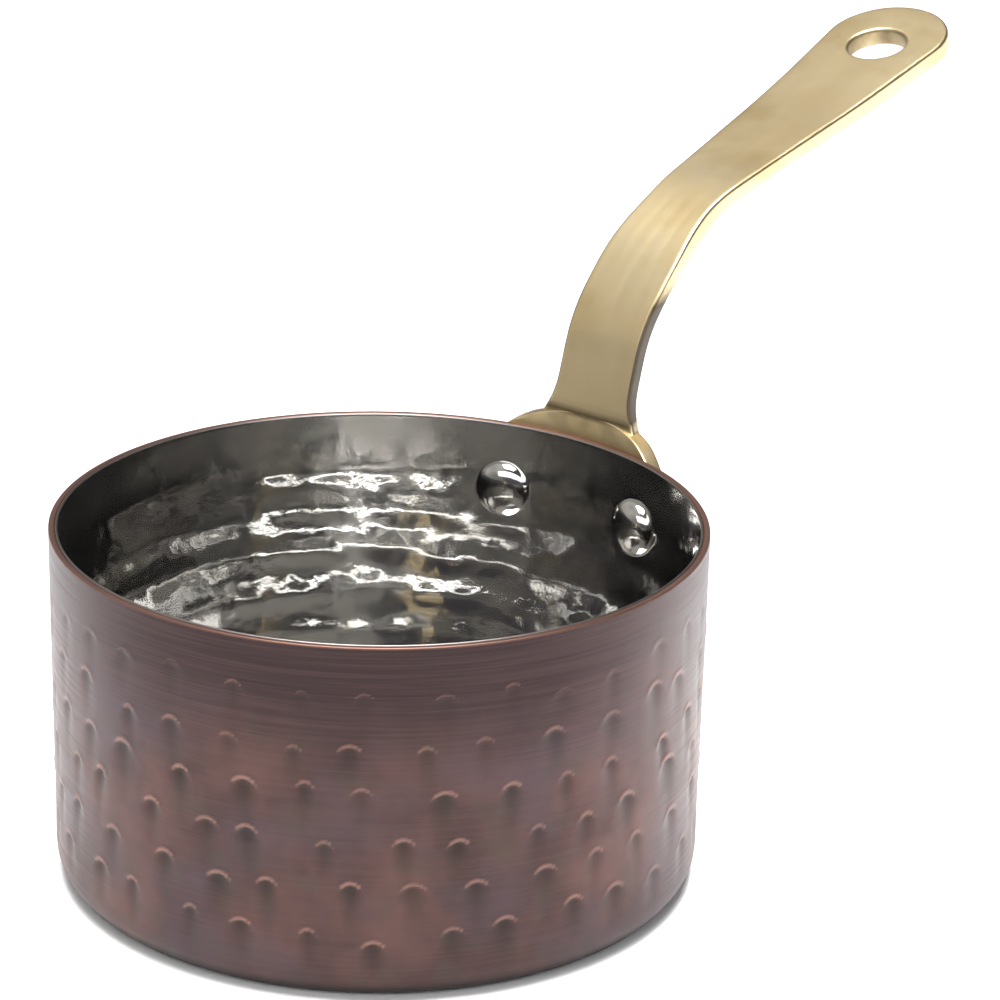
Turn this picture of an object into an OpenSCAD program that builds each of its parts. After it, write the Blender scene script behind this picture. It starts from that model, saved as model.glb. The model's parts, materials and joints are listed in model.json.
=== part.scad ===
// Small straight-sided copper coffee pot with a steel lining and a riveted brass stick handle.
// Millimetres. The origin is the centre of the underside, +Z is up and +X points to the handle.

/* [Pot] */
// Outer diameter at the rim
rim_d = 90; // [80:1:110]
// How much narrower the wall is at the foot than at the rim
taper = 0.8; // [0:0.1:3]
// Height from the table to the rim
pot_h = 50.4; // [45:0.1:70]
// Radius of the rounded corner between the wall and the base
corner_r = 4.3; // [3:0.1:8]
// Thickness of the copper skin
copper_t = 0.9; // [0.6:0.1:1.4]
// Thickness of the steel lining
lining_t = 0.4; // [0.3:0.1:0.8]

/* [Handle flange] */
// Width of the flange, straight across
flange_w = 39; // [34:1:46]
// Height of the flange
flange_h = 24; // [20:1:28]
// Thickness of the flange
flange_t = 2.8; // [2:0.1:4]
// How far the flange stands above the rim
flange_over = 3; // [1:0.5:5]
// Radius of the flange's rounded ends
flange_end_r = 8; // [6:0.5:9]
// Height of the tapering rib that joins the bar to the flange, below the rim
rib_h = 17; // [10:1:19]
// How far the rib stands out from the flange at the rim
rib_out = 2; // [0.5:0.1:3]

/* [Handle bar] */
// Slope of the steep part above the flange, in degrees
rise_slope = 74; // [65:1:85]
// Length of the steep part, from the rim up
rise_l = 13; // [8:0.5:25]
// Mean slope of the neck between the two bends, in degrees
neck_slope = 45.5; // [35:0.5:55]
// How much the slope falls along the neck, in degrees
neck_turn = 9; // [0:1:15]
// Length of the neck, from bend to bend
neck_l = 9.5; // [6:0.5:20]
// Inner radius of the lower bend
low_bend_r = 18; // [12:1:30]
// Inner radius of the upper bend
high_bend_r = 34; // [20:1:45]
// Slope of the grip, in degrees
grip_slope = 14.4; // [5:0.1:25]
// Length of the straight grip
grip_l = 22; // [15:1:50]
// Length of the slight upward sweep between the grip and the tip
sweep_l = 14; // [5:1:30]
// Slope of the flat tip, in degrees
tip_slope = 17.3; // [5:0.1:30]
// Length of the flat tip
tip_l = 21.8; // [20:0.1:30]
// Width of the bar where it leaves the flange
root_w = 15; // [12:0.5:18]
// Width of the bar in the neck
neck_w = 13.4; // [12:0.2:16]
// Width of the bar at its waist, just above the upper bend
waist_w = 11.6; // [9:0.2:12]
// Width of the bar at its round tip
tip_w = 19.6; // [17:0.2:24]
// Thickness of the bar in the bends
bend_t = 3.2; // [2.5:0.1:4]
// Thickness of the bar in the grip
grip_t = 2.5; // [2:0.1:4]
// Thickness of the bar at its tip
tip_t = 2.9; // [2:0.1:4]

/* [Hanging hole] */
// Diameter of the hole in the tip
hole_d = 8.9; // [6:0.1:10]
// From the hole's centre to the end of the tip
hole_to_end = 12; // [9:0.5:14]

/* [Rivets] */
// Angle from the handle's middle plane to each rivet, in degrees
rivet_angle = 16.2; // [15:0.1:18]
// From the rim down to the rivets
rivet_drop = 10; // [8:0.5:12]
// Diameter of the shank
shank_d = 4; // [3:0.1:5]
// Diameter of the domed head inside the pot
head_d = 8.5; // [7:0.1:9]
// Height of the domed head
head_h = 2.3; // [1.5:0.1:3]
// Diameter of the closed end on the flange
tail_d = 6.4; // [5.6:0.1:7]
// Height of the closed end
tail_h = 1.1; // [0.6:0.1:1.5]

/* [Hidden] */

$fn = 144;
over = 10; // how far cutting shapes run past what they cut
rim_r = rim_d / 2;
lean = taper / 2 / pot_h; // growth of the wall's radius per millimetre of height
wall_t = copper_t + lining_t;
corner_x = rim_r - lean * (pot_h - corner_r) - corner_r * sqrt(1 + lean * lean);
rivet_z = pot_h - rivet_drop;
step_angle = 3; // the bar's bends are cut into steps of this many degrees

// Outer radius of a wall that lies inset inside the copper's outer face
function wall_r(z, inset = 0) = rim_r - lean * (pot_h - z) - inset * sqrt(1 + lean * lean);

// The pot as if it were solid, from its middle outwards, with its faces moved in by inset
module pot_profile(inset, top) {
    r = corner_r - inset;
    lean_angle = atan(lean);
    polygon([
        [0, inset],
        [corner_x, inset],
        [corner_x + r * cos(lean_angle), corner_r - r * sin(lean_angle)],
        [wall_r(top, inset), top],
        [0, top]
    ]);
    translate([corner_x, corner_r]) circle(r);
}

// One thin skin of the pot, between two depths inside its outer face
module pot_skin(outer_inset, inner_inset) {
    rotate_extrude() difference() {
        pot_profile(outer_inset, pot_h);
        pot_profile(inner_inset, pot_h + over);
    }
}

// A plain cone that follows the pot's wall at some distance outside it
module wall_cone(out) {
    translate([0, 0, -over])
        cylinder(h = pot_h + 3 * over, r1 = wall_r(-over, -out), r2 = wall_r(pot_h + 2 * over, -out));
}

// Puts its children on a rivet's axis, with +Z pointing out of the pot
module on_rivet(side) {
    rotate([0, 0, side * rivet_angle]) translate([0, 0, rivet_z]) rotate([0, 90, 0]) children();
}

module rivet_holes() {
    for (side = [-1, 1]) on_rivet(side) cylinder(h = rim_r + 2 * over, d = shank_d);
}

module copper_shell() {
    color([0.55, 0.38, 0.34]) difference() {
        pot_skin(0, copper_t);
        rivet_holes();
    }
}

module steel_lining() {
    color([0.62, 0.62, 0.64]) difference() {
        pot_skin(copper_t, wall_t);
        rivet_holes();
    }
}

// Oval made of four tangent arcs, half_w by half_h, with end_r at its two ends
module oval(half_w, half_h, end_r) {
    end_x = half_w - end_r;
    side_r = (end_x * end_x + half_h * half_h - end_r * end_r) / (2 * (half_h - end_r));
    meet_x = end_x * side_r / (side_r - end_r);
    intersection() {
        side_disc(1, side_r, half_h);
        side_disc(-1, side_r, half_h);
        square([2 * meet_x, 4 * half_h], center = true);
    }
    for (side = [-1, 1]) translate([side * end_x, 0]) circle(end_r);
}

module side_disc(side, side_r, half_h) {
    translate([0, side * (half_h - side_r)]) circle(side_r);
}

// The plate that lies on the pot's wall
module flange() {
    middle_z = pot_h + flange_over - flange_h / 2;
    intersection() {
        wall_cone(flange_t);
        translate([0, 0, middle_z]) rotate([90, 0, 90])
            linear_extrude(rim_r + 2 * over) oval(flange_w / 2, flange_h / 2, flange_end_r);
    }
}

// The bar's upper face as [length of the stretch, slope at its end]
neck_start = neck_slope + neck_turn / 2;
neck_end = neck_slope - neck_turn / 2;
low_bend_l = low_bend_r * (rise_slope - neck_start) * PI / 180;
high_bend_l = high_bend_r * (neck_end - grip_slope) * PI / 180;
stretches = [
    [rise_l, rise_slope],
    [low_bend_l, neck_start],
    [neck_l, neck_end],
    [high_bend_l, grip_slope],
    [grip_l, grip_slope],
    [sweep_l, tip_slope],
    [tip_l, tip_slope]
];

function slope_before(i) = i == 0 ? rise_slope : stretches[i - 1][1];
function steps_in(i) = max(1, ceil(abs(stretches[i][1] - slope_before(i)) / step_angle));

// Every short straight step along the bar, as [length, slope]
steps = [
    for (i = [0 : len(stretches) - 1])
        for (j = [0 : steps_in(i) - 1])
            [stretches[i][0] / steps_in(i),
             slope_before(i) + (stretches[i][1] - slope_before(i)) * (j + 0.5) / steps_in(i)]
];

// Corner points of the upper face, from the rim to the end of the tip
upper_face = [
    for (i = 0, p = [rim_r, pot_h];
         i <= len(steps);
         p = i < len(steps) ? p + steps[i][0] * [cos(steps[i][1]), sin(steps[i][1])] : p, i = i + 1)
        p
];
travel = [
    for (i = 0, s = 0; i <= len(steps); s = i < len(steps) ? s + steps[i][0] : s, i = i + 1) s
];
bar_l = travel[len(steps)];
bar_end = upper_face[len(steps)];

// Thickness of the bar at distance s from the rim
function bar_t(s) = lookup(s, [
    [0, bend_t],
    [rise_l + low_bend_l + neck_l, bend_t],
    [bar_l - tip_l - sweep_l - grip_l / 2, grip_t],
    [bar_l - tip_l, tip_t],
    [bar_l, tip_t]
]);

// Slope of the face at corner point i
function slope_at(i) =
    i == 0 ? steps[0][1] :
    i == len(steps) ? steps[i - 1][1] :
    (steps[i - 1][1] + steps[i][1]) / 2;

lower_face = [
    for (i = [0 : len(steps)])
        upper_face[i] + bar_t(travel[i]) * [sin(slope_at(i)), -cos(slope_at(i))]
];

// Distance from the pot's axis, measured along the slope of the tip
function along_tip(p) = p[0] * cos(tip_slope) + (p[1] - pot_h) * sin(tip_slope);

tip_r = tip_w / 2;
neck_u = along_tip([rim_r, pot_h]) + rise_l + neck_l / 2;
waist_u = neck_u + neck_l + 3;
tip_u = along_tip(bar_end) - tip_r;
hole_u = along_tip(bar_end) - hole_to_end;

// Half the bar's width at distance u along the slope of the tip
function half_width(u) =
    u < neck_u ? neck_w / 2 :
    u < waist_u ? (neck_w + waist_w) / 4 + (neck_w - waist_w) / 4 * cos(180 * (u - neck_u) / (waist_u - neck_u)) :
    waist_w / 2 + (tip_w - waist_w) / 2 * pow((u - waist_u) / (tip_u - waist_u), 1.2);

width_step = (tip_u - neck_u) / 24;
side_edge = [for (u = [neck_u : width_step : tip_u + width_step / 2]) [u, half_width(min(u, tip_u))]];

// Turns its children into the frame of the tip: X along the slope, Z out of the upper face
module in_tip_frame() {
    translate([0, 0, pot_h]) rotate([0, -tip_slope, 0]) children();
}

// The bar's outline seen square to its tip
module bar_outline() {
    polygon(concat(
        [[0, neck_w / 2]],
        side_edge,
        [for (i = [len(side_edge) - 1 : -1 : 0]) [side_edge[i][0], -side_edge[i][1]]],
        [[0, -neck_w / 2]]
    ));
    translate([tip_u, 0]) circle(tip_r);
}

module bar() {
    intersection() {
        rotate([90, 0, 0]) linear_extrude(2 * tip_w, center = true)
            polygon(concat(upper_face, [for (i = [len(steps) : -1 : 0]) lower_face[i]]));
        in_tip_frame() linear_extrude(4 * pot_h, center = true) bar_outline();
    }
}

// The rib that carries the bar's load down into the flange
module rib() {
    face_x = rim_r + flange_t;
    join = lower_face[0] + [0, flange_over + 1];
    intersection() {
        rotate([90, 0, 0]) linear_extrude(root_w, center = true) polygon([
            [rim_r, pot_h - rib_h],
            [face_x - 0.5, pot_h - rib_h],
            [face_x + rib_out, pot_h],
            [join[0] + 1, join[1] + 1],
            [rim_r + 1.5, join[1]],
            [rim_r, pot_h]
        ]);
        translate([0, 0, pot_h - rib_h]) rotate([90, 0, 90]) linear_extrude(rim_r + 2 * over)
            polygon([
                [-root_w / 4, 0],
                [root_w / 4, 0],
                [root_w / 2, rib_h],
                [neck_w / 2, rib_h + over],
                [-neck_w / 2, rib_h + over],
                [-root_w / 2, rib_h]
            ]);
    }
}

module handle() {
    color([0.80, 0.70, 0.50]) difference() {
        union() {
            flange();
            rib();
            bar();
        }
        wall_cone(0);
        rivet_holes();
        in_tip_frame() translate([hole_u, 0, -pot_h]) cylinder(h = 2 * pot_h, d = hole_d);
    }
}

// Radius of the sphere whose cap is d across and h high
function cap_r(d, h) = (d * d / 4 + h * h) / (2 * h);

module rivet(side) {
    inside_r = wall_r(rivet_z, wall_t);
    outside_r = wall_r(rivet_z, -flange_t);
    head_r = cap_r(head_d, head_h);
    tail_r = cap_r(tail_d, tail_h);
    color([0.72, 0.72, 0.74]) {
        intersection() {
            on_rivet(side) translate([0, 0, inside_r - head_h + head_r]) sphere(head_r);
            wall_cone(-wall_t);
        }
        on_rivet(side) translate([0, 0, inside_r - head_h / 2])
            cylinder(h = outside_r - inside_r + (head_h + tail_h) / 2, d = shank_d);
        difference() {
            on_rivet(side) translate([0, 0, outside_r + tail_h - tail_r]) sphere(tail_r);
            wall_cone(flange_t);
        }
    }
}

module rivet_left() {
    rivet(1);
}

module rivet_right() {
    rivet(-1);
}

copper_shell();
steel_lining();
handle();
rivet_left();
rivet_right();
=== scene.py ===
import bpy
import bmesh
import json
import math
import random
from mathutils import Matrix, Vector, noise


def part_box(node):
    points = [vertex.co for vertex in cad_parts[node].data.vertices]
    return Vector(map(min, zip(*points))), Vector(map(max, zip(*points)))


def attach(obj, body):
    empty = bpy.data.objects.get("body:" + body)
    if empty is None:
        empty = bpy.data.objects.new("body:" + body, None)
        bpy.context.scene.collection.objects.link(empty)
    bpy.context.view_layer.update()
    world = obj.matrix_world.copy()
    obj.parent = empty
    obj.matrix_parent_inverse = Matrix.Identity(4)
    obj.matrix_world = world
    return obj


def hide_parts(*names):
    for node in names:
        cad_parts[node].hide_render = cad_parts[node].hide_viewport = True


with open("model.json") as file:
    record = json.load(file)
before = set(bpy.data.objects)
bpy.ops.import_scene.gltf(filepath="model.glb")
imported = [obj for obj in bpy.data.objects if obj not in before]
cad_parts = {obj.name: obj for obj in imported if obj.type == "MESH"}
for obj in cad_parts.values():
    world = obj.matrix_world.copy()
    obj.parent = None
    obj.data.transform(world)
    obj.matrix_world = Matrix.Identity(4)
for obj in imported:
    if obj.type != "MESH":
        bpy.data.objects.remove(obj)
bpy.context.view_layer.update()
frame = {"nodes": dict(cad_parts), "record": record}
record = frame["record"]
scene = bpy.context.scene
mm = 0.001
print("frame loaded:", ", ".join(sorted(frame["nodes"])))


# small helpers

def smoothStep(low, high, value):
    t = min(max((value - low) / (high - low), 0.0), 1.0)
    return t * t * (3 - 2 * t)


def mix(a, b, t):
    return a + (b - a) * t


def newObject(bm, name):
    mesh = bpy.data.meshes.new(name)
    bm.to_mesh(mesh)
    bm.free()
    made = bpy.data.objects.new(name, mesh)
    scene.collection.objects.link(made)
    return made


def finishPiece(bm, name, material, node):
    # turns a bmesh into a finished piece that stands for one CAD node
    piece = newObject(bm, name)
    piece.data.materials.append(material)
    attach(piece, "root")
    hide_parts(node)
    print(name, "has", len(piece.data.polygons), "faces")


def softenFaces(bm, creaseAngle=None):
    # smooth shading all over, with a crisp edge where the surface turns sharply
    for face in bm.faces:
        face.smooth = True
    if creaseAngle is None:
        return
    for e in bm.edges:
        if len(e.link_faces) == 2 and e.calc_face_angle() > math.radians(creaseAngle):
            e.smooth = False


def lathe(bm, outline, steps, finer=1):
    # spins an outline of (radius, height) points once around Z and closes its poles;
    # finer splits each step again, because a spin in many steps is slow
    verts = [bm.verts.new((r, 0, z)) for r, z in outline]
    edges = [bm.edges.new(pair) for pair in zip(verts, verts[1:])]
    bmesh.ops.spin(bm, geom=verts + edges, cent=(0, 0, 0), axis=(0, 0, 1), dvec=(0, 0, 0),
                   angle=2 * math.pi, steps=steps, use_merge=True, use_duplicate=False)
    bmesh.ops.remove_doubles(bm, verts=bm.verts[:], dist=0.001 * mm)
    if finer > 1:
        around = [e for e in bm.edges if runsAround(e)]
        bmesh.ops.subdivide_edges(bm, edges=around, cuts=finer - 1, use_grid_fill=True)
        half = math.pi / steps
        for v in bm.verts:
            offset = math.atan2(v.co.y, v.co.x) % (2 * half) - half
            v.co.xy *= math.cos(offset) / math.cos(half)
    bmesh.ops.recalc_face_normals(bm, faces=bm.faces[:])
    softenFaces(bm)


def runsAround(edge):
    a, b = edge.verts
    level = abs(a.co.z - b.co.z) < 0.0001 * mm
    return level and abs(a.co.xy.length - b.co.xy.length) < 0.0001 * mm


def arc(centre, radius, start, end, count):
    # points on a round stretch of an outline, angles in degrees
    points = []
    for i in range(count + 1):
        a = math.radians(mix(start, end, i / count))
        points.append((centre[0] + radius * math.cos(a), centre[1] + radius * math.sin(a)))
    return points


# the pot's own measures, taken from the frame

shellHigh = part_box("copper_shell")[1]
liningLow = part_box("steel_lining")[0]

pot = {
    "rimRadius": shellHigh.x,
    "height": shellHigh.z,
    "taper": 0.4 * mm,           # how much smaller the radius is at the foot
    "cornerRadius": 4.3 * mm,
    "copperThick": liningLow.z,
    "liningThick": 0.4 * mm,
    "edgeRadius": 0.25 * mm,     # rounding of the rim
    "shellColumns": 520,
    "shellRows": 140,
    "liningColumns": 480,
    "liningRows": 128,
    "finer": 8,                  # columns made by splitting one step of the spin
}
lean = pot["taper"] / pot["height"]
cornerCentre = (pot["rimRadius"] - pot["taper"] - pot["cornerRadius"], pot["cornerRadius"])


def wallRadius(z, inset=0.0):
    return pot["rimRadius"] - lean * (pot["height"] - z) - inset


def skinOutline(outerInset, innerInset, outerRows, innerRows):
    # section of one skin, from the underside's middle round the rim to the inside floor's middle
    height, edge = pot["height"], min(pot["edgeRadius"], (innerInset - outerInset) / 2.2)
    outerCorner = pot["cornerRadius"] - outerInset
    innerCorner = pot["cornerRadius"] - innerInset
    flatPlaces = [0, cornerCentre[0] * 0.35, cornerCentre[0] * 0.7]
    points = [(place, outerInset) for place in flatPlaces]
    points += arc(cornerCentre, outerCorner, -90, 0, 9)
    for i in range(1, outerRows + 1):
        z = mix(pot["cornerRadius"], height - edge, i / outerRows)
        points.append((wallRadius(z, outerInset), z))
    rim = wallRadius(height, outerInset)
    points += arc((rim - edge, height - edge), edge, 0, 90, 4)[1:]
    rim = wallRadius(height, innerInset)
    points += arc((rim + edge, height - edge), edge, 90, 180, 4)
    for i in range(1, innerRows + 1):
        z = mix(height - edge, pot["cornerRadius"], i / innerRows)
        points.append((wallRadius(z, innerInset), z))
    points += arc(cornerCentre, innerCorner, 0, -90, 9)[1:]
    points += [(place, innerInset) for place in reversed(flatPlaces)]
    return points


# hammer marks, shared by the copper and by the lining behind it

hammer = {
    "rows": 6,
    "marksInRow": 32,
    "rowPitch": 6.6 * mm,
    "width": 1.6 * mm,           # half the width of a mark's raised lip
    "arch": 1.0 * mm,            # how far the lip's ends droop
    "lipAndHighlight": 0.13 * mm,
    "depth": 0.34 * mm,
    "tail": 3.6 * mm,            # how slowly the dent runs out downwards
    "drift": 0.9 * mm,           # uneven spacing
    "faintRows": {0: 0.5, 1: 0.8},  # the top rows were struck more lightly
    "seed": 11,
}


def hammerMarks():
    rng = random.Random(hammer["seed"])
    marks = []
    for row in range(hammer["rows"]):
        shift = rng.random()
        wave = rng.uniform(0, 2 * math.pi)
        for i in range(hammer["marksInRow"]):
            angle = 2 * math.pi * (i + shift) / hammer["marksInRow"]
            angle += rng.gauss(0, hammer["drift"]) / pot["rimRadius"]
            z = pot["height"] - hammer["rowPitch"] * (row + 1)
            z += 0.6 * mm * math.sin(3 * angle + wave) + rng.gauss(0, 0.45 * mm)
            strength = rng.uniform(0.7, 1.15) * hammer["faintRows"].get(row, 1.0)
            marks.append({"angle": angle, "z": z, "strength": strength,
                          "size": rng.uniform(0.8, 1.2), "lean": rng.uniform(-0.25, 0.25)})
    return marks


def vertsByPlace(bm, columns, rows, inside):
    # finds wall vertices by column and row, so that a mark moves only what is near it
    places = {}
    middle = pot["copperThick"] + (pot["liningThick"] / 2 if inside else 0)
    low, high = pot["cornerRadius"], pot["height"] - pot["edgeRadius"]
    for vert in bm.verts:
        radius = math.hypot(vert.co.x, vert.co.y)
        depth = wallRadius(vert.co.z) - radius
        onWall = depth > middle if inside else depth < middle / 2
        if onWall and low - 0.5 * mm < vert.co.z < pot["height"] - 0.05 * mm:
            column = round(math.atan2(vert.co.y, vert.co.x) / (2 * math.pi) * columns) % columns
            row = round((vert.co.z - low) / (high - low) * rows)
            places[(column, row)] = vert
    return places


def nearMark(mark, columns, rows, above, below, aside):
    # yields (column, row, sideways, downwards) around a mark, in metres
    low, high = pot["cornerRadius"], pot["height"] - pot["edgeRadius"]
    rowStep = (high - low) / rows
    columnStep = 2 * math.pi * pot["rimRadius"] / columns
    middleColumn = mark["angle"] / (2 * math.pi) * columns
    lowRow = round((mark["z"] - below - low) / rowStep)
    highRow = round((mark["z"] + above - low) / rowStep)
    firstColumn = round(middleColumn - aside / columnStep)
    lastColumn = round(middleColumn + aside / columnStep)
    for row in range(lowRow, highRow + 1):
        for column in range(firstColumn, lastColumn + 1):
            sideways = (column - middleColumn) * columnStep
            downwards = mark["z"] - (low + row * rowStep)
            yield column % columns, row, sideways, downwards


def hammerShell(bm, marks):
    dentShade = bm.verts.layers.float.new("dentShade")
    lipAndHighlight = bm.verts.layers.float.new("lipAndHighlight")
    places = vertsByPlace(bm, pot["shellColumns"], pot["shellRows"], False)
    moves = {}
    for mark in marks:
        half = hammer["width"] * mark["size"]
        for column, row, side, down in nearMark(mark, pot["shellColumns"], pot["shellRows"],
                                                2 * mm, 9 * mm, 4 * mm):
            side += mark["lean"] * down * 0.35
            fromArc = down - hammer["arch"] * (side / half) ** 2
            ends = 1 - smoothStep(0.65 * half, 1.25 * half, abs(side))
            ridge = math.exp(-(fromArc / (0.36 * mm)) ** 2) * ends
            fall = math.exp(-max(fromArc - 0.9 * mm, 0) / hammer["tail"])
            hollow = smoothStep(0.15 * mm, 0.85 * mm, fromArc) * fall * math.exp(-(side / (0.78 * half)) ** 2)
            oldRidge, oldHollow = moves.get((column, row), (0.0, 0.0))
            ridge = oldRidge + ridge * mark["strength"]
            hollow = oldHollow + hollow * mark["strength"]
            moves[(column, row)] = (ridge, hollow)
    for place, (ridge, hollow) in moves.items():
        vert = places.get(place)
        if vert is None:
            continue
        outwards = Vector((vert.co.x, vert.co.y, 0)).normalized()
        edges = smoothStep(0.2 * mm, 2 * mm, pot["height"] - vert.co.z)
        edges *= smoothStep(-0.2 * mm, 2 * mm, vert.co.z - pot["cornerRadius"])
        vert.co += outwards * edges * (hammer["lipAndHighlight"] * ridge - hammer["depth"] * min(hollow, 1.5))
        # painted highlight mask: where each hammer mark's raised lip gets lighter copper
        vert[lipAndHighlight] = ridge * edges
        # painted shade mask: where each hammer mark's hollow gets darker copper
        vert[dentShade] = min(hollow, 1.2) * edges


liningDents = {
    "height": 0.19 * mm,         # how far a mark bulges inwards
    "across": 4.0 * mm,
    "down": 1.95 * mm,
    "below": 1.9 * mm,           # from a mark's lip to the middle of its bulge
    "ripple": 0.04 * mm,         # unevenness between the marks
    "fineRipple": 0.012 * mm,
}


def hammerLining(bm, marks):
    places = vertsByPlace(bm, pot["liningColumns"], pot["liningRows"], True)
    bulges = {}
    for mark in marks:
        for column, row, side, down in nearMark(mark, pot["liningColumns"], pot["liningRows"],
                                                4 * mm, 8 * mm, 8 * mm):
            beyond = (down - liningDents["below"]) / liningDents["down"]
            shape = math.exp(-(side / liningDents["across"]) ** 2 - beyond ** 2)
            bulges[(column, row)] = bulges.get((column, row), 0) + shape * (0.5 + 0.5 * mark["strength"])
    for place, vert in places.items():
        inwards = -Vector((vert.co.x, vert.co.y, 0)).normalized()
        edges = smoothStep(0.3 * mm, 3 * mm, pot["height"] - vert.co.z)
        ripple = noise.noise(vert.co * 420) * liningDents["ripple"]
        ripple += noise.noise(vert.co * 900) * liningDents["fineRipple"]
        vert.co += inwards * edges * (liningDents["height"] * bulges.get(place, 0) + ripple)


# materials

def newMaterial(name):
    material = bpy.data.materials.new(name)
    material.use_nodes = True
    tree = material.node_tree
    shader = tree.nodes["Principled BSDF"]
    return material, tree, shader


def addNode(tree, kind, inputs=None, **settings):
    node = tree.nodes.new(kind)
    for key, value in settings.items():
        setattr(node, key, value)
    for key, value in (inputs or {}).items():
        if isinstance(value, bpy.types.NodeSocket):
            tree.links.new(value, node.inputs[key])
        else:
            node.inputs[key].default_value = value
    return node


def objectPattern(tree, scale, detail=3.0, roughness=0.5, stretch=(1, 1, 1),
                  offset=(0.3137, 0.4171, 0.6073)):
    # noise on object coordinates, stretched where a finish runs one way; the odd offsets keep
    # the noise's own grid off the object's middle planes, where it would show as a hairline
    place = addNode(tree, "ShaderNodeTexCoord")
    mapping = addNode(tree, "ShaderNodeMapping", {"Vector": place.outputs["Object"],
                                                  "Scale": stretch, "Location": offset})
    return addNode(tree, "ShaderNodeTexNoise", {"Vector": mapping.outputs[0], "Scale": scale,
                                                "Detail": detail, "Roughness": roughness}).outputs["Fac"]


def heightOf(tree):
    place = addNode(tree, "ShaderNodeTexCoord").outputs["Object"]
    return addNode(tree, "ShaderNodeSeparateXYZ", {"Vector": place}).outputs["Z"]


def attributeOf(tree, name):
    return addNode(tree, "ShaderNodeAttribute", attribute_name=name).outputs["Fac"]


def rangeOf(tree, value, fromLow, fromHigh, toLow, toHigh):
    inputs = {"Value": value, "From Min": fromLow, "From Max": fromHigh, "To Min": toLow, "To Max": toHigh}
    return addNode(tree, "ShaderNodeMapRange", inputs).outputs["Result"]


def blendColours(tree, factor, first, second):
    # inputs 6 and 7 are the Mix node's two colours
    return addNode(tree, "ShaderNodeMix", {0: factor, 6: first, 7: second}, data_type="RGBA").outputs[2]


def maths(tree, operation, a, b):
    return addNode(tree, "ShaderNodeMath", {0: a, 1: b}, operation=operation).outputs[0]


def addBump(tree, shader, layers):
    # stacks bumps: each layer is (height socket, strength, distance)
    normal = None
    for height, strength, distance in layers:
        inputs = {"Height": height, "Strength": strength, "Distance": distance}
        bump = addNode(tree, "ShaderNodeBump", inputs)
        if normal is not None:
            tree.links.new(normal, bump.inputs["Normal"])
        normal = bump.outputs["Normal"]
    tree.links.new(normal, shader.inputs["Normal"])


copper = {
    "patches": [(0.060, 0.036, 0.035, 1), (0.104, 0.057, 0.051, 1)],
    "violetTint": (0.076, 0.056, 0.068, 1),
    "greenTint": (0.060, 0.053, 0.043, 1),
    "topBand": (0.034, 0.021, 0.022, 1),
    "streak": (0.13, 0.08, 0.075, 1),
    # painted shade: darker copper in the hollow below each hammer mark's lip
    "dentShade": (0.024, 0.021, 0.017, 1),
    # painted highlight on each hammer mark's raised lip
    "lipAndHighlight": (0.25, 0.14, 0.115, 1),
    "rimWear": (0.24, 0.13, 0.10, 1),
    # painted shade along the foot, where the pot meets the floor
    "foot": (0.020, 0.015, 0.014, 1),
    "metallic": 0.85,
    "roughness": (0.36, 0.52),
}


def antiqueCopper():
    material, tree, shader = newMaterial("antique copper")
    streaks = objectPattern(tree, 1.0, 4.0, 0.6, stretch=(45, 45, 2600))
    fineStreaks = objectPattern(tree, 1.0, 2.0, 0.5, stretch=(140, 140, 7000))
    patches = objectPattern(tree, 70, 4.0, 0.55, offset=(0.3137, 0.1171, 0.0473))
    violet = objectPattern(tree, 55, 3.0, 0.5, offset=(0.7137, 0.2171, 0.4273))
    green = objectPattern(tree, 210, 2.0, 0.5, offset=(0.1137, 0.9171, 0.2073))
    height = heightOf(tree)
    top = pot["height"]
    colour = blendColours(tree, rangeOf(tree, patches, 0.40, 0.64, 0, 1), *copper["patches"])
    # each layer: how much of it shows, and its colour
    layers = [
        (rangeOf(tree, violet, 0.48, 0.68, 0, 0.75), "violetTint"),
        (rangeOf(tree, green, 0.52, 0.7, 0, 0.45), "greenTint"),
        (rangeOf(tree, height, top - 20 * mm, top - 6 * mm, 0, 0.95), "topBand"),
        (rangeOf(tree, streaks, 0.4, 0.72, 0, 0.28), "streak"),
        # painted shade in each hammer mark's hollow
        (rangeOf(tree, attributeOf(tree, "dentShade"), 0.05, 0.9, 0, 0.62), "dentShade"),
        # painted highlight along each hammer mark's lip
        (rangeOf(tree, attributeOf(tree, "lipAndHighlight"), 0.25, 0.95, 0, 0.75), "lipAndHighlight"),
        (rangeOf(tree, height, top - 0.35 * mm, top - 0.1 * mm, 0, 0.7), "rimWear"),
        # painted shade, darker towards the bottom of the wall next to the floor
        (rangeOf(tree, height, 0.6 * mm, 3.2 * mm, 0.9, 0), "foot"),
    ]
    for amount, layer in layers:
        colour = blendColours(tree, amount, colour, copper[layer])
    tree.links.new(colour, shader.inputs["Base Color"])
    shader.inputs["Metallic"].default_value = copper["metallic"]
    tree.links.new(rangeOf(tree, streaks, 0.3, 0.75, *copper["roughness"]), shader.inputs["Roughness"])
    addBump(tree, shader, [(streaks, 0.25, 0.02 * mm), (fineStreaks, 0.2, 0.01 * mm),
                           (objectPattern(tree, 900, 3.0), 0.3, 0.03 * mm)])
    return material


steel = {
    "colours": [(0.66, 0.655, 0.645, 1), (0.60, 0.585, 0.555, 1)],
    "rimEdge": (0.26, 0.23, 0.22, 1),
    "roughness": (0.06, 0.11),
    "satinBand": 0.06,           # extra roughness near the rim
    "chop": 0.035 * mm,          # small waves of a hand-polished surface
}


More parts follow.
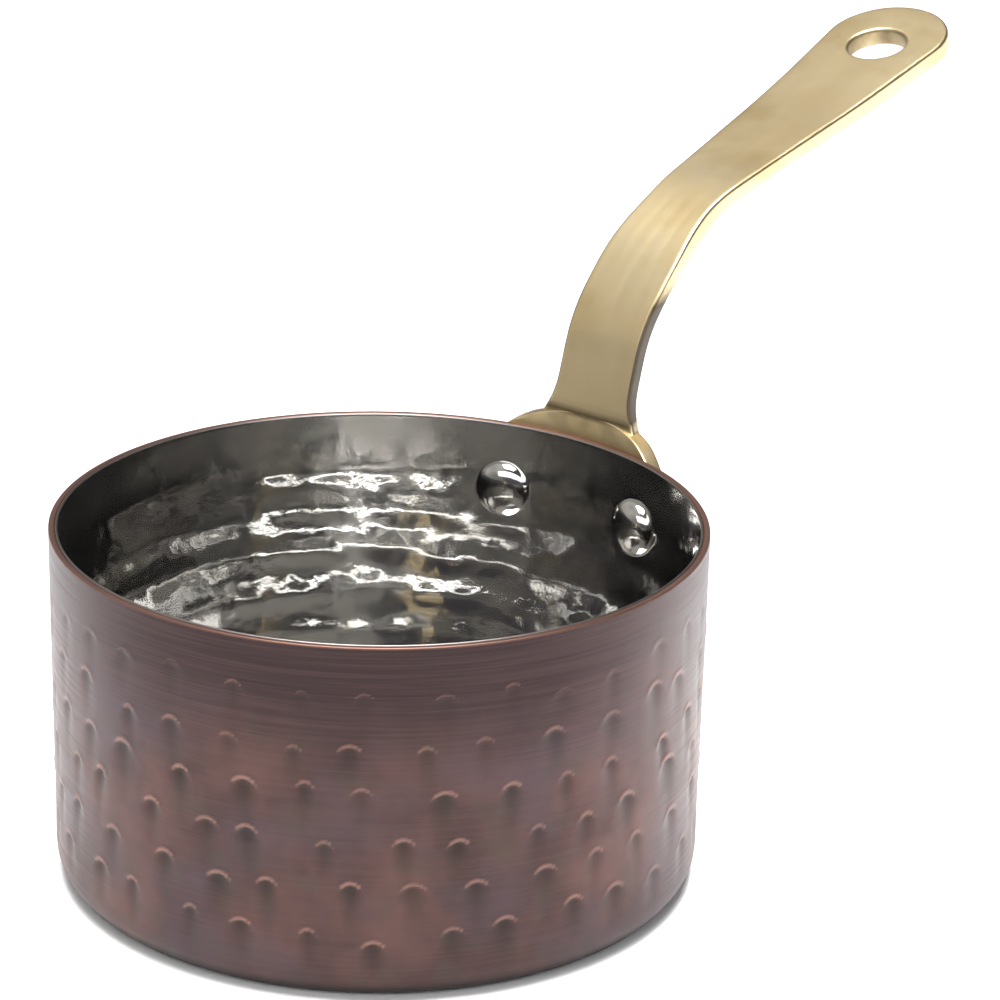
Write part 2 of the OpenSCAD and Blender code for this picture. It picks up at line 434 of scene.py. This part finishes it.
def polishedSteel():
    material, tree, shader = newMaterial("polished steel")
    cloud = objectPattern(tree, 120, 3.0)
    grain = objectPattern(tree, 1600, 3.0)
    chop = objectPattern(tree, 620, 3.0, offset=(0.2137, 0.5171, 0.1073))
    height = heightOf(tree)
    top = pot["height"]
    colour = blendColours(tree, rangeOf(tree, cloud, 0.4, 0.65, 0, 1), *steel["colours"])
    edge = rangeOf(tree, height, top - 0.35 * mm, top - 0.05 * mm, 0, 1)
    colour = blendColours(tree, edge, colour, steel["rimEdge"])
    tree.links.new(colour, shader.inputs["Base Color"])
    shader.inputs["Metallic"].default_value = 1.0
    polish = rangeOf(tree, cloud, 0.3, 0.7, *steel["roughness"])
    satin = rangeOf(tree, height, top - 8 * mm, top - 5 * mm, 0, steel["satinBand"])
    rough = maths(tree, "ADD", maths(tree, "ADD", polish, satin), maths(tree, "MULTIPLY", edge, 0.2))
    tree.links.new(rough, shader.inputs["Roughness"])
    addBump(tree, shader, [(chop, 0.9, steel["chop"]), (grain, 0.2, 0.010 * mm)])
    return material


brass = {
    "colours": [(0.85, 0.71, 0.45, 1), (0.80, 0.63, 0.36, 1)],
    "stain": (0.62, 0.45, 0.20, 1),
    "lowBarShade": (0.58, 0.45, 0.25, 1),     # painted shade: darker near the pot
    # dark brown: painted shade on the flank, the joint and the hole's wall; tarnish on the ledge
    "tarnishAndShade": (0.030, 0.018, 0.006, 1),
    "roughness": (0.295, 0.325),
    # how strongly the dark brown goes on: painted shade on flank, joint and hole, tarnish on the ledge
    "flankShade": 1.0,
    "jointShade": 0.6,
    "holeShade": 0.5,
    "ledgeTarnish": 0.25,
}


def castBrass():
    material, tree, shader = newMaterial("cast brass")
    lines = objectPattern(tree, 1.0, 2.0, 0.4, stretch=(60, 800, 60), offset=(0.37, 0.53, 0.19))
    cloud = objectPattern(tree, 75, 3.0, offset=(0.4137, 0.3171, 0.6073))
    stain = objectPattern(tree, 90, 4.0, offset=(0.1137, 0.8171, 0.2073))
    # mask of painted shade on flank, joint and hole's wall, with tarnish on the ledge
    tarnishAndShade = attributeOf(tree, "tarnishAndShade")
    top = pot["height"]
    colour = blendColours(tree, rangeOf(tree, cloud, 0.35, 0.68, 0, 1), *brass["colours"])
    layers = [
        (rangeOf(tree, stain, 0.52, 0.72, 0, 0.55), "stain"),
        # painted shade: darker brass on the bar near the pot
        (rangeOf(tree, heightOf(tree), top + 12 * mm, top + 24 * mm, 0.6, 0), "lowBarShade"),
        (rangeOf(tree, tarnishAndShade, 0, 0.75, 0, 0.97), "tarnishAndShade"),
    ]
    for amount, layer in layers:
        colour = blendColours(tree, amount, colour, brass[layer])
    tree.links.new(colour, shader.inputs["Base Color"])
    tree.links.new(rangeOf(tree, tarnishAndShade, 0.65, 0.95, 1, 0), shader.inputs["Metallic"])
    brushed = rangeOf(tree, lines, 0.3, 0.7, *brass["roughness"])
    rough = maths(tree, "ADD", brushed, maths(tree, "MULTIPLY", tarnishAndShade, 0.3))
    tree.links.new(rough, shader.inputs["Roughness"])
    addBump(tree, shader, [(objectPattern(tree, 500, 3.0), 0.15, 0.02 * mm)])
    return material


def rivetSteel():
    material, tree, shader = newMaterial("rivet steel")
    cloud = objectPattern(tree, 300, 3.0)
    colour = blendColours(tree, rangeOf(tree, cloud, 0.4, 0.65, 0, 1), *rivet["colours"])
    tree.links.new(colour, shader.inputs["Base Color"])
    shader.inputs["Metallic"].default_value = 1.0
    tree.links.new(rangeOf(tree, cloud, 0.3, 0.7, *rivet["roughness"]), shader.inputs["Roughness"])
    addBump(tree, shader, [(objectPattern(tree, 900, 2.0), 0.3, 0.02 * mm)])
    return material


# the two skins of the pot

marks = hammerMarks()

shellMesh = bmesh.new()
lathe(shellMesh, skinOutline(0, pot["copperThick"], pot["shellRows"], 3),
      pot["shellColumns"] // pot["finer"], pot["finer"])
hammerShell(shellMesh, marks)
finishPiece(shellMesh, "hammered_shell", antiqueCopper(), "copper_shell")

liningMesh = bmesh.new()
wallThick = pot["copperThick"] + pot["liningThick"]
lathe(liningMesh, skinOutline(pot["copperThick"], wallThick, 3, pot["liningRows"]),
      pot["liningColumns"] // pot["finer"], pot["finer"])
hammerLining(liningMesh, marks)
finishPiece(liningMesh, "polished_lining", polishedSteel(), "steel_lining")


# the handle: a flat blank with its hole, bent to shape, on a curved flange

handle = {
    # stretches of the bar from the rim to the tip: length in mm, slope in degrees at its end
    "stretches": [(13.0, 74), (7.54, 50), (9.5, 41), (15.79, 14.4), (22.0, 14.4), (14.0, 17.3),
                  (21.8, 17.3)],
    "tipSlope": 17.3,
    "neckWidth": 13.4 * mm,
    "waistWidth": 11.6 * mm,
    "tipWidth": 19.6 * mm,
    "neckStart": 17.75 * mm,     # from here the bar narrows to its waist
    "neckLength": 12.5 * mm,
    "tipSpread": 1.2,            # 1 widens evenly to the tip, more widens late
    "rootFlare": 2.6 * mm,       # extra half width where the bar meets the flange
    "flareLength": 9 * mm,
    "bendThick": 3.2 * mm,
    "gripThick": 2.5 * mm,
    "tipThick": 2.9 * mm,
    "bendEnd": 30 * mm,          # the bar is thickest up to here
    "gripToEnd": 46.8 * mm,      # and thinnest here
    "flatToEnd": 21.8 * mm,
    "holeToEnd": 12 * mm,
    "edge": 0.55 * mm,           # rounding of the bar's long edges
    "backTaper": 0.8 * mm,       # how much narrower the back of the steep part is, each side
    "rootSink": 0.35 * mm,       # how far the face steps back behind the flange's ledge
    "unevenness": 0.05 * mm,
    "rows": 44,
    "tipSegments": 48,
}
flange = {
    "halfWidth": 16.8 * mm,
    "halfHeight": 12 * mm,
    "thick": 2.8 * mm,
    "over": 3 * mm,              # stands above the rim
    "gap": 0.08 * mm,
    "edge": 0.8 * mm,
    "ledgeLean": 0.36,           # how much the part above the rim leans outwards
    "endThick": 0.6,             # share of the thickness left at the two ends
    "squareness": 2.35,          # 2 is a plain oval, more is fuller at the corners
    "ribOut": 2.0 * mm,
    "ribDown": 17 * mm,
    "ribHalfWidth": 8.5 * mm,
}
holeMount = next(m for m in record["mounts"] if m["name"] == "hanging_hole")
holeRadius = holeMount["dims"]["r_mm"] * mm


def bendPath(step=0.1):
    # walks along the bar's upper face: [(distance, x, z, slope in radians)]
    x, z, slope = pot["rimRadius"], pot["height"], handle["stretches"][0][1]
    distance, points = 0.0, []
    for length, endSlope in handle["stretches"]:
        count = max(round(length / step), 1)
        startSlope = slope
        for i in range(count):
            points.append((distance, x, z, math.radians(mix(startSlope, endSlope, i / count))))
            a = math.radians(mix(startSlope, endSlope, (i + 0.5) / count))
            x += length * mm / count * math.cos(a)
            z += length * mm / count * math.sin(a)
            distance += length * mm / count
        slope = endSlope
    points.append((distance, x, z, math.radians(slope)))
    return points


path = bendPath()
barLength = path[-1][0]
holeAt = barLength - handle["holeToEnd"]


def pathAt(distance):
    place = min(max(distance / barLength, 0), 1) * (len(path) - 1)
    guess = min(int(place), len(path) - 2)
    while guess > 0 and path[guess][0] > distance:
        guess -= 1
    while guess < len(path) - 2 and path[guess + 1][0] < distance:
        guess += 1
    a, b = path[guess], path[guess + 1]
    t = (distance - a[0]) / (b[0] - a[0])
    return [mix(p, q, t) for p, q in zip(a[1:], b[1:])]


def alongTip(x, z):
    slope = math.radians(handle["tipSlope"])
    return x * math.cos(slope) + (z - pot["height"]) * math.sin(slope)


tipRadius = handle["tipWidth"] / 2
tipAlong = alongTip(path[-1][1], path[-1][2]) - tipRadius
neckAlong = alongTip(pot["rimRadius"], pot["height"]) + handle["neckStart"]
waistAlong = neckAlong + handle["neckLength"]


def halfWidth(distance):
    x, z, _ = pathAt(distance)
    along = min(alongTip(x, z), tipAlong)
    neck, waist = handle["neckWidth"] / 2, handle["waistWidth"] / 2
    if along < waistAlong:
        width = mix(neck, waist, smoothStep(neckAlong, waistAlong, along))
    else:
        width = mix(waist, tipRadius, ((along - waistAlong) / (tipAlong - waistAlong)) ** handle["tipSpread"])
    return width + handle["rootFlare"] * (1 - smoothStep(0, handle["flareLength"], distance)) ** 2


def barThickness(distance):
    grip = barLength - handle["gripToEnd"]
    flat = barLength - handle["flatToEnd"]
    if distance < grip:
        return mix(handle["bendThick"], handle["gripThick"], smoothStep(handle["bendEnd"], grip, distance))
    return mix(handle["gripThick"], handle["tipThick"], smoothStep(grip, flat, distance))


def roundSharpEdges(bm, width, segments, angle=50):
    limit = math.radians(angle)
    sharp = [e for e in bm.edges if len(e.link_faces) == 2 and e.calc_face_angle() > limit]
    bmesh.ops.bevel(bm, geom=sharp, offset=width, offset_type="OFFSET", affect="EDGES", segments=segments,
                    profile=0.5, material=-1, clamp_overlap=True)


def faceUpThenThicken(bm, thickness):
    bmesh.ops.recalc_face_normals(bm, faces=bm.faces[:])
    if bm.faces[0].normal.z < 0:
        bmesh.ops.reverse_faces(bm, faces=bm.faces[:])
    bmesh.ops.solidify(bm, geom=bm.faces[:], thickness=thickness)


def extrudeEdges(bm, edges):
    made = bmesh.ops.extrude_edge_only(bm, edges=edges)["geom"]
    newEdges = [e for e in made if isinstance(e, bmesh.types.BMEdge)]
    newVerts = [v for v in made if isinstance(v, bmesh.types.BMVert)]
    return newEdges, newVerts


def barBlank():
    # X is the distance along the bar, Y is across it, Z is its thickness
    bm = bmesh.new()
    tipAt = barLength - tipRadius
    rowAt = holeAt - 9.5 * mm    # where the rings round the hole give way to plain rows
    ring = bmesh.ops.create_circle(bm, cap_ends=False, segments=handle["tipSegments"], radius=holeRadius,
                                   matrix=Matrix.Translation((holeAt, 0, 0)))["verts"]

    def outerPlace(angle):
        turn = abs(angle)
        side = 1 if angle >= 0 else -1
        if turn <= 90:
            a = math.radians(turn)
            return tipAt + tipRadius * math.cos(a), side * tipRadius * math.sin(a)
        if turn <= 135:
            at = mix(tipAt, rowAt, (turn - 90) / 45)
            return at, side * halfWidth(at)
        return rowAt, side * halfWidth(rowAt) * (180 - turn) / 45

    angles = {v: math.degrees(math.atan2(v.co.y, v.co.x - holeAt)) for v in ring}
    edges = bm.edges[:]
    for share in (0.2, 0.6, 1.0):
        edges, verts = extrudeEdges(bm, edges)
        for v in verts:
            angle = angles[min(angles, key=lambda old: (old.co - v.co).length)]
            outerX, outerY = outerPlace(angle)
            a = math.radians(angle)
            v.co.x = mix(holeAt + holeRadius * math.cos(a), outerX, share)
            v.co.y = mix(holeRadius * math.sin(a), outerY, share)
            angles[v] = angle
    edges = [e for e in edges if all(abs(angles[v]) > 134.9 for v in e.verts)]
    for i in range(1, handle["rows"] + 1):
        before = mix(rowAt, 0, (i - 1) / handle["rows"])
        at = mix(rowAt, 0, i / handle["rows"])
        edges, verts = extrudeEdges(bm, edges)
        for v in verts:
            v.co = (at, v.co.y * halfWidth(at) / halfWidth(before), 0)
    faceUpThenThicken(bm, handle["tipThick"])
    return bm


def bendBar(bm):
    for v in bm.verts:
        x, z, slope = pathAt(v.co.x)
        share = v.co.z / handle["tipThick"]
        steep = 1 - smoothStep(24 * mm, 40 * mm, v.co.x)
        root = 1 - smoothStep(2 * mm, 6 * mm, v.co.x)
        v.co.y *= 1 + handle["backTaper"] / halfWidth(v.co.x) * steep * share
        depth = share * barThickness(v.co.x) - handle["rootSink"] * root * (1 + share)
        v.co = (x - depth * math.sin(slope), v.co.y, z + depth * math.cos(slope))


def flangeBlank():
    # X is across the flange, Y is up and Z is outwards
    bm = bmesh.new()
    bmesh.ops.create_grid(bm, x_segments=30, y_segments=20, size=1)
    for v in bm.verts:
        x = v.co.x * math.sqrt(1 - v.co.y ** 2 / 2)
        y = v.co.y * math.sqrt(1 - v.co.x ** 2 / 2)
        around, power = math.atan2(y, x), flange["squareness"]
        fuller = (abs(math.cos(around)) ** power + abs(math.sin(around)) ** power) ** (-1 / power)
        v.co.x = flange["halfWidth"] * x * fuller
        v.co.y = flange["halfHeight"] * y * fuller
    faceUpThenThicken(bm, flange["thick"])
    low = min(v.co.z for v in bm.verts)
    for v in bm.verts:
        v.co.z -= low
    return bm


def wrapFlange(bm):
    middle = pot["height"] + flange["over"] - flange["halfHeight"]
    for v in bm.verts:
        z = middle + v.co.y
        outer = v.co.z / flange["thick"]
        rib = smoothStep(0, flange["ribDown"], z - (pot["height"] - flange["ribDown"]))
        rib *= 1 - 0.6 * smoothStep(0, flange["over"], z - pot["height"])
        rib *= 1 - smoothStep(0.45 * flange["ribHalfWidth"], flange["ribHalfWidth"], abs(v.co.x))
        thin = mix(1, flange["endThick"], smoothStep(0.5, 1, abs(v.co.x) / flange["halfWidth"]))
        radius = wallRadius(z) + flange["gap"] + v.co.z * thin + outer * rib * flange["ribOut"]
        radius += flange["ledgeLean"] * max(z - pot["height"], 0) * (1 - 0.7 * outer)
        angle = v.co.x / pot["rimRadius"]
        v.co = (radius * math.cos(angle), radius * math.sin(angle), z)


def smoothBlank(bm, name, levels):
    blank = newObject(bm, name)
    smooth = blank.modifiers.new("smooth", "SUBSURF")
    smooth.levels = smooth.render_levels = levels
    return blank


def joinBlanks(plate, bar):
    # one closed casting from the two blanks, which are then thrown away
    join = plate.modifiers.new("join", "BOOLEAN")
    join.operation = "UNION"
    join.solver = "EXACT"
    join.object = bar
    graph = bpy.context.evaluated_depsgraph_get()
    casting = bpy.data.meshes.new_from_object(plate.evaluated_get(graph))
    for blank in (bar, plate):
        bpy.data.objects.remove(blank)
    bm = bmesh.new()
    bm.from_mesh(casting)
    bmesh.ops.remove_doubles(bm, verts=bm.verts[:], dist=0.02 * mm)
    bmesh.ops.dissolve_degenerate(bm, edges=bm.edges[:], dist=0.01 * mm)
    return bm


def addTarnishAndShade(bm):
    # dark brown, as painted shade on the flank, in the joint's crease and on the hole's wall, and as tarnish
    # in patches on the ledge where hands and cloths don't reach
    tarnishAndShade = bm.verts.layers.float.new("tarnishAndShade")
    crease = pot["height"] + flange["over"]
    holeX, holeZ, holeSlope = pathAt(holeAt)
    holeAxis = Vector((-math.sin(holeSlope), 0, math.cos(holeSlope)))
    bm.normal_update()
    for v in bm.verts:
        above, aside = v.co.z - crease, abs(v.co.y)
        # flank: painted shade along the bar's sides at the rise
        flank = smoothStep(0.12, 0.35, abs(v.normal.y)) * (1 - smoothStep(14 * mm, 21 * mm, above))
        flank *= smoothStep(-0.5 * mm, 1 * mm, above) * smoothStep(3.5 * mm, 5 * mm, aside)
        # joint: painted shadow in the crease where the bar meets the flange
        joint = 1 - smoothStep(0.2 * mm, 0.8 * mm, abs(above))
        joint *= smoothStep(0.3, 0.8, -v.normal.x) * (1 - smoothStep(7 * mm, 10 * mm, aside))
        ledge = smoothStep(-4 * mm, -1 * mm, above) * (1 - smoothStep(0, 0.6 * mm, above))
        ledge *= smoothStep(0.1, 0.6, noise.noise(v.co * 330) + 0.35)
        ledge *= 1 - smoothStep(9 * mm, 12 * mm, aside)
        # hole: painted shade on the hole's inner wall
        fromHole = v.co - Vector((holeX, 0, holeZ))
        fromHole -= holeAxis * fromHole.dot(holeAxis)
        bore = 1 - smoothStep(holeRadius + 0.1 * mm, holeRadius + 0.5 * mm, fromHole.length)
        v[tarnishAndShade] = max(brass["flankShade"] * flank, brass["jointShade"] * joint,
                         brass["holeShade"] * bore, brass["ledgeTarnish"] * ledge)


def makeHandle():
    barMesh = barBlank()
    roundSharpEdges(barMesh, handle["edge"], 3)
    bendBar(barMesh)
    flangeMesh = flangeBlank()
    roundSharpEdges(flangeMesh, flange["edge"], 3)
    wrapFlange(flangeMesh)
    bm = joinBlanks(smoothBlank(flangeMesh, "flange_blank", 1), smoothBlank(barMesh, "bar_blank", 2))
    addTarnishAndShade(bm)
    for v in bm.verts:
        v.co += v.normal * noise.noise(v.co * 130) * handle["unevenness"]
    softenFaces(bm, 35)
    finishPiece(bm, "brass_handle", castBrass(), "handle")


makeHandle()


# rivets

rivet = {
    "headRadius": 4.25 * mm,
    "headHeight": 2.3 * mm,
    "shankRadius": 2.0 * mm,
    "tailRadius": 3.2 * mm,
    "tailHeight": 1.1 * mm,
    "sunk": 0.35 * mm,           # how deep the head's skirt sits in the wall's hollows
    "steps": 72,
    "colours": [(0.66, 0.65, 0.63, 1), (0.52, 0.50, 0.46, 1)],
    "roughness": (0.08, 0.16),
}


def domeOutline(radius, height, base, count=14):
    points = []
    for i in range(count + 1):
        a = math.pi / 2 * i / count
        points.append((radius * math.sin(a) ** 0.95, base + height * math.cos(a) ** 0.9))
    return points


def makeRivet(node, name, material):
    low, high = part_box(node)
    middle = (low + high) / 2
    turn = math.atan2(middle.y, middle.x)
    inside = wallRadius(middle.z, wallThick)
    outside = wallRadius(middle.z) + flange["gap"] + flange["thick"]
    head = domeOutline(rivet["headRadius"], rivet["headHeight"], 0)
    tail = domeOutline(rivet["tailRadius"], rivet["tailHeight"], 0)
    outline = [(r, -inside + z) for r, z in head]
    skirt, seat = -inside - rivet["sunk"], -outside + 0.2 * mm
    outline += [(rivet["headRadius"], skirt), (rivet["shankRadius"], skirt)]
    outline += [(rivet["shankRadius"], seat), (rivet["tailRadius"], seat)]
    outline += [(r, -outside - z) for r, z in reversed(tail)]
    bm = bmesh.new()
    lathe(bm, outline, rivet["steps"])
    softenFaces(bm, 40)
    # the lathe's +Z is turned to point at the pot's axis
    bmesh.ops.rotate(bm, verts=bm.verts[:], cent=(0, 0, 0), matrix=Matrix.Rotation(-math.pi / 2, 3, "Y"))
    bmesh.ops.rotate(bm, verts=bm.verts[:], cent=(0, 0, 0), matrix=Matrix.Rotation(turn, 3, "Z"))
    bmesh.ops.translate(bm, verts=bm.verts[:], vec=(0, 0, middle.z))
    finishPiece(bm, name, material, node)


rivetMaterial = rivetSteel()
makeRivet("rivet_left", "domed_rivet_left", rivetMaterial)
makeRivet("rivet_right", "domed_rivet_right", rivetMaterial)


# floor, light and camera

studio = {
    "floorColour": (0.88, 0.88, 0.88, 1),
    "darkRoom": (0.092, 0.088, 0.100, 1),
    "brightTent": (0.58, 0.57, 0.545, 1),
    "sideWall": (0.27, 0.265, 0.26, 1),
    "bendGlow": (0.50, 0.49, 0.47, 1),
    "background": (1.0, 1.0, 1.0, 1),
    # name, azimuth, elevation, distance, width, height, brightness
    "softboxes": [("front softbox", -129, 37, 3.0, 5.6, 1.25, 3.2),
                  ("overhead softbox", -129, 84, 3.0, 1.7, 1.7, 19)],
    # name, azimuth, reach from the pot's middle, power
    "floorLights": [("right floor light", 130, 0.150, 52), ("left floor light", -28, 0.150, 24)],
    "floorLightHeight": 0.5,
    "floorLightCone": 21,
}
view = {
    "azimuth": -51.55,           # degrees, 0 looks along +Y
    "elevation": 20.63,
    "distance": 0.550,
    "aimRight": 16.26 * mm,      # from the pot's middle
    "aimUp": 26.72 * mm,
    "roll": 1.27,
    "lens": 143.0,
}


def addFloor():
    bm = bmesh.new()
    bmesh.ops.create_grid(bm, x_segments=4, y_segments=4, size=4)
    floor = newObject(bm, "floor")
    material, _, shader = newMaterial("pale floor")
    shader.inputs["Base Color"].default_value = studio["floorColour"]
    shader.inputs["Roughness"].default_value = 0.9
    floor.data.materials.append(material)


def wayTo(azimuth, elevation):
    # azimuth 0 is towards +Y, 90 towards +X
    a, e = math.radians(azimuth), math.radians(elevation)
    return Vector((math.sin(a) * math.cos(e), math.cos(a) * math.cos(e), math.sin(e)))


def addWorld():
    # a dark room with a pale tent above and behind the pot, and a grey wall to the left
    world = bpy.data.worlds.new("studio")
    scene.world = world
    world.use_nodes = True
    tree = world.node_tree
    shade = tree.nodes["Background"]
    direction = addNode(tree, "ShaderNodeTexCoord").outputs["Generated"]

    def patch(azimuth, elevation, full, gone):
        # 1 within the angle full from a direction, fading to 0 at the angle gone
        inputs = {0: direction, 1: wayTo(azimuth, elevation)}
        near = addNode(tree, "ShaderNodeVectorMath", inputs, operation="DOT_PRODUCT").outputs["Value"]
        return rangeOf(tree, near, math.cos(math.radians(gone)), math.cos(math.radians(full)), 0, 1)

    colour = blendColours(tree, patch(-60, 5, 18, 45), studio["darkRoom"], studio["sideWall"])
    colour = blendColours(tree, patch(-14, 52, 40, 58), colour, studio["brightTent"])
    colour = blendColours(tree, patch(-34, 45, 5, 17), colour, studio["bendGlow"])
    seen = addNode(tree, "ShaderNodeLightPath").outputs["Is Camera Ray"]
    colour = blendColours(tree, seen, colour, studio["background"])
    tree.links.new(colour, shade.inputs["Color"])


def addSoftbox(name, azimuth, elevation, distance, width, height, brightness):
    # a soft rectangle that faces the pot, as bright all over as asked
    lamp = bpy.data.lights.new(name, "AREA")
    lamp.shape = "RECTANGLE"
    lamp.size, lamp.size_y = width, height
    lamp.energy = brightness * math.pi * width * height
    box = bpy.data.objects.new(name, lamp)
    way = wayTo(azimuth, elevation)
    box.location = Vector((0.02, 0, 0.04)) + way * distance
    box.rotation_euler = way.to_track_quat("Z", "Y").to_euler()
    scene.collection.objects.link(box)


def addFloorLight(name, azimuth, reach, power):
    # a spot straight above one patch of the floor beside the pot
    lamp = bpy.data.lights.new(name, "SPOT")
    lamp.energy = power
    lamp.spot_size = math.radians(studio["floorLightCone"])
    lamp.spot_blend = 1.0
    lamp.shadow_soft_size = 0.08
    spot = bpy.data.objects.new(name, lamp)
    spot.location = wayTo(azimuth, 0) * reach + Vector((0, 0, studio["floorLightHeight"]))
    scene.collection.objects.link(spot)


def addCamera():
    a, e = math.radians(view["azimuth"]), math.radians(view["elevation"])
    right = Vector((math.cos(a), math.sin(a), 0))
    back = Vector((math.sin(a) * math.cos(e), -math.cos(a) * math.cos(e), math.sin(e)))
    up = back.cross(right)
    middle = Vector((0, 0, pot["height"] / 2))
    place = middle + right * view["aimRight"] + up * view["aimUp"] + back * view["distance"]
    r = math.radians(view["roll"])
    tiltedRight = right * math.cos(r) + up * math.sin(r)
    tiltedUp = up * math.cos(r) - right * math.sin(r)
    turn = Matrix((tiltedRight, tiltedUp, back)).transposed()
    data = bpy.data.cameras.new("camera")
    data.lens = view["lens"]
    data.sensor_width = 36
    camera = bpy.data.objects.new("camera", data)
    camera.matrix_world = Matrix.Translation(place) @ turn.to_4x4()
    scene.collection.objects.link(camera)
    scene.camera = camera


addFloor()
addWorld()
for settings in studio["softboxes"]:
    addSoftbox(*settings)
for settings in studio["floorLights"]:
    addFloorLight(*settings)
addCamera()
scene.view_settings.view_transform = "Standard"
print("studio ready")
